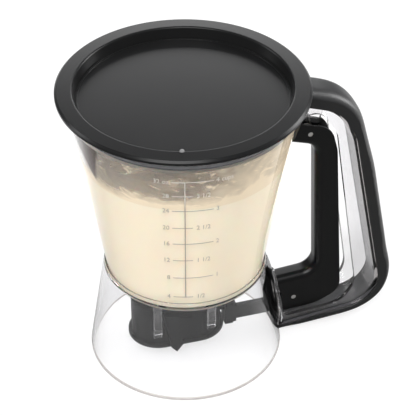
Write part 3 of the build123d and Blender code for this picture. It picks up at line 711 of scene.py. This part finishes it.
def smeared_film_and_shade():
    """Thin batter drying on plastic: a cream band that fades upwards, soft haze and a few thick arcs. Where
    the skin is thin it is coloured brownish as painted shade, and a dark wedge of painted shade is laid over
    it.
    """
    material = new_material("batter_smears_and_painted_shade")
    tree = material.node_tree
    coords = add_node(tree, "ShaderNodeTexCoord")
    place = add_node(tree, "ShaderNodeSeparateXYZ", links={0: coords.outputs["Object"]})
    flow = add_node(tree, "ShaderNodeMapping", {"Scale": FLOW}, {"Vector": coords.outputs["Object"]})
    edge = add_node(tree, "ShaderNodeTexNoise", {"Scale": 1 / EDGE_SIZE, "Detail": 3.0},
                    {"Vector": flow.outputs[0]})
    wander = add_node(tree, "ShaderNodeMath", {"operation": "MULTIPLY_ADD", 1: -EDGE_WANDER},
                      {0: edge.outputs["Fac"], 2: place.outputs["Z"]})
    band_foot = BATTER_TOP - 0.5 * EDGE_WANDER
    band = add_node(tree, "ShaderNodeMapRange",
                    {"interpolation_type": "SMOOTHSTEP", 1: band_foot, 2: band_foot + EDGE_FADE,
                     3: 1.0, 4: 0.0}, {0: wander.outputs[0]})
    smear = add_node(tree, "ShaderNodeTexNoise", {"Scale": 1 / SMEAR_SIZE, "Detail": 2.5, "Distortion": 0.8},
                     {"Vector": flow.outputs[0]})
    haze = add_node(tree, "ShaderNodeMapRange", {1: HAZE_FROM, 2: HAZE_TO, 3: 0.0, 4: HAZE_COVER},
                    {0: smear.outputs["Fac"]})
    lick = add_node(tree, "ShaderNodeTexNoise", {"Scale": 1 / LICK_SIZE, "Detail": 1.5, "Distortion": 1.6},
                    {"Vector": flow.outputs[0]})
    arcs = add_node(tree, "ShaderNodeMapRange", {1: LICK_FROM, 2: LICK_TO, 3: 0.0, 4: LICK_COVER},
                    {0: lick.outputs["Fac"]})
    handle_side = add_node(tree, "ShaderNodeMapRange",
                           {1: HANDLE_FROM, 2: HANDLE_TO, 3: 0.0, 4: HANDLE_COVER}, {0: place.outputs["X"]})
    cream = band
    for layer in (haze, arcs, handle_side):
        cream = add_node(tree, "ShaderNodeMath", {"operation": "ADD", "use_clamp": True},
                         {0: cream.outputs[0], 1: layer.outputs[0]})
    wet = add_node(tree, "ShaderNodeMapRange", {3: WET_COVER, 4: 1.0}, {0: cream.outputs[0]})
    thick = add_node(tree, "ShaderNodeMapRange", {1: 0.0, 2: THICK_AT, 3: 0.0, 4: 1.0}, {0: cream.outputs[0]})
    # The brownish colour where the skin is thin is painted shade, not the batter's own colour.
    tone = add_node(tree, "ShaderNodeMix", {"data_type": "RGBA", 6: colour("826650"), 7: colour("EFE0C6")},
                    {0: thick.outputs[0]})
    # A dark wedge of painted shade: dark brown laid on the skin where the shadowed inside of the cup shows.
    half_turn = add_node(tree, "ShaderNodeMapping", {"Rotation": (0, 0, math.pi)},
                         {"Vector": coords.outputs["Object"]})
    across = add_node(tree, "ShaderNodeSeparateXYZ", links={0: half_turn.outputs[0]})
    bearing = add_node(tree, "ShaderNodeMath", {"operation": "ARCTAN2"},
                       {0: across.outputs["Y"], 1: across.outputs["X"]})
    sides = []
    for edge_turn, order in ((SHADE_WEDGE_LEFT, (0, 1)), (SHADE_WEDGE_RIGHT, (1, 0))):
        side = add_node(tree, "ShaderNodeMapRange",
                        {1: SHADE_WEDGE_Z[0], 2: SHADE_WEDGE_Z[1], 3: SHADE_WEDGE_FOOT, 4: edge_turn},
                        {0: place.outputs["Z"]})
        inside = add_node(tree, "ShaderNodeMath", {"operation": "SUBTRACT"},
                          {order[0]: bearing.outputs[0], order[1]: side.outputs[0]})
        sides.append(add_node(tree, "ShaderNodeMapRange", {1: 0.0, 2: SHADE_WEDGE_SOFT, 3: 0.0, 4: 1.0},
                              {0: inside.outputs[0]}))
    shade_wedge = add_node(tree, "ShaderNodeMath", {"operation": "MULTIPLY"},
                      {0: sides[0].outputs[0], 1: sides[1].outputs[0]})
    dark = add_node(tree, "ShaderNodeMath", {"operation": "MULTIPLY", 1: SHADE_WEDGE_COVER},
                    {0: shade_wedge.outputs[0]})
    cover = add_node(tree, "ShaderNodeMath", {"operation": "MAXIMUM"},
                     {0: wet.outputs[0], 1: dark.outputs[0]})
    shade = add_node(tree, "ShaderNodeMix", {"data_type": "RGBA", 7: colour("4E3A2E")},
                     {0: shade_wedge.outputs[0], 6: tone.outputs[2]})
    bare = add_node(tree, "ShaderNodeBsdfTransparent", {"Color": (1, 1, 1, 1)})
    skin = add_node(tree, "ShaderNodeBsdfPrincipled", {"Roughness": 0.45, "IOR": 1.38},
                    {"Base Color": shade.outputs[2]})
    mix = add_node(tree, "ShaderNodeMixShader",
                   links={0: cover.outputs[0], 1: bare.outputs[0], 2: skin.outputs[0]})
    add_node(tree, "ShaderNodeOutputMaterial", links={"Surface": mix.outputs[0]})
    return material


film_profile = (wall_points(BATTER_TOP, FILM_TOP, WALL - WETTING, FILM_RINGS)
                + wall_points(BATTER_TOP, FILM_TOP, WALL + FILM_THICK, FILM_RINGS)[::-1])
batter_film = turned("batter_film", film_profile)
bpy.ops.object.shade_smooth_by_angle(angle=BATTER_SMOOTH)
batter_film.data.materials.append(smeared_film_and_shade())
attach(batter_film, "container")

# ---- lid -----------------------------------------------------------------------------------
# Black lift-off lid in satin polypropylene: a flat rim round a recessed floor, a short outer lip, and a
# plug wall that goes down inside the cup. A smoky silicone ring sits in a groove round the plug.

LID_R, LID_TOP, LIP_Z = 0.0715, 0.1838, 0.1810
LID_EDGE = 0.0005
RECESS_R, LID_FLOOR, LID_WALL = 0.0613, 0.1768, 0.0018
RECESS_DRAFT = 0.0010      # the recess widens by this much on its way up
FLOOR_MIDDLE_R = 0.030     # a ring of points that keeps the floor's shading even
RING_IN, RING_OUT, RING_RISE = 0.0026, 0.0016, 0.0005    # low ring round the floor, in from its corner
INNER_EASE, EASE_STEPS = 0.0012, 6     # radius of the rim's inner edge, wide enough to catch a line of light
OUTER_IN, OUTER_FALL, OUTER_DROP = 0.0012, 0.0002, 0.0014    # slope of the rim's outer edge
LIP_WALL = 0.0015
UNDER_RIM = 0.1808
PLUG_R, PLUG_Z = 0.0625, 0.1714
GROOVE_LOW, GROOVE_HIGH = 0.1734, 0.1764
PLUG_SIDE = [              # inwards from PLUG_R, and height, down the plug's outside and up its inside
    (0, UNDER_RIM), (0.0008, GROOVE_HIGH), (0.0016, GROOVE_HIGH), (0.0019, GROOVE_LOW), (0.0013, GROOVE_LOW),
    (0.0016, PLUG_Z), (0.0032, PLUG_Z), (0.0029, LID_FLOOR - LID_WALL),
]
NUB_R, NUB_FLAT = 0.0013, 0.70     # small nub on the rim's inner edge, flattened to this share of its width
NUB_OUT = 0.0004           # its centre lies this far outside the recess

ease_turns = [math.radians(90 * step / EASE_STEPS) for step in range(EASE_STEPS + 1)]
lid_profile = ([(0, LID_FLOOR), (FLOOR_MIDDLE_R, LID_FLOOR), (RECESS_R - RING_IN, LID_FLOOR),
                (RECESS_R - RING_IN, LID_FLOOR + RING_RISE), (RECESS_R - RING_OUT, LID_FLOOR + RING_RISE),
                (RECESS_R - RING_OUT, LID_FLOOR), (RECESS_R - RECESS_DRAFT, LID_FLOOR)]
               + [(RECESS_R + INNER_EASE * (1 - math.cos(turn)), LID_TOP - INNER_EASE * (1 - math.sin(turn)))
                  for turn in ease_turns]
               + [(LID_R - OUTER_IN, LID_TOP - OUTER_FALL), (LID_R, LID_TOP - OUTER_DROP), (LID_R, LIP_Z),
                  (LID_R - LIP_WALL, LIP_Z), (LID_R - LIP_WALL, UNDER_RIM)]
               + [(PLUG_R - inwards, z) for inwards, z in PLUG_SIDE]
               + [(0, LID_FLOOR - LID_WALL)])
lid = turned("black_lid", lid_profile, close=False)
soften(lid, LID_EDGE)
nub_place = view_towards * (RECESS_R + NUB_OUT) + Vector((0, 0, LID_TOP))
select_none()
bpy.ops.mesh.primitive_uv_sphere_add(segments=24, ring_count=12, radius=NUB_R)
nub = bpy.context.object
bpy.ops.object.mode_set(mode="EDIT")
bpy.ops.transform.resize(value=(1, 1, NUB_FLAT))
bpy.ops.transform.translate(value=nub_place)
bpy.ops.object.mode_set(mode="OBJECT")
bpy.ops.object.shade_smooth()
nub.select_set(True)
lid.select_set(True)
bpy.context.view_layer.objects.active = lid
bpy.ops.object.join()
lid.data.materials.clear()
# The nub's top gets a painted highlight: a pale grey disc the size of the nub, fading out round it.
lid.data.materials.append(black_moulding("lid_polypropylene_moulded", "191919", "1E1E1E", 0.29, 0.19,
                                         nub_place, NUB_R))
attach(lid, "lid")
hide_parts("lid_shell")
nodes["lid_gasket"].material_slots[0].material = silicone
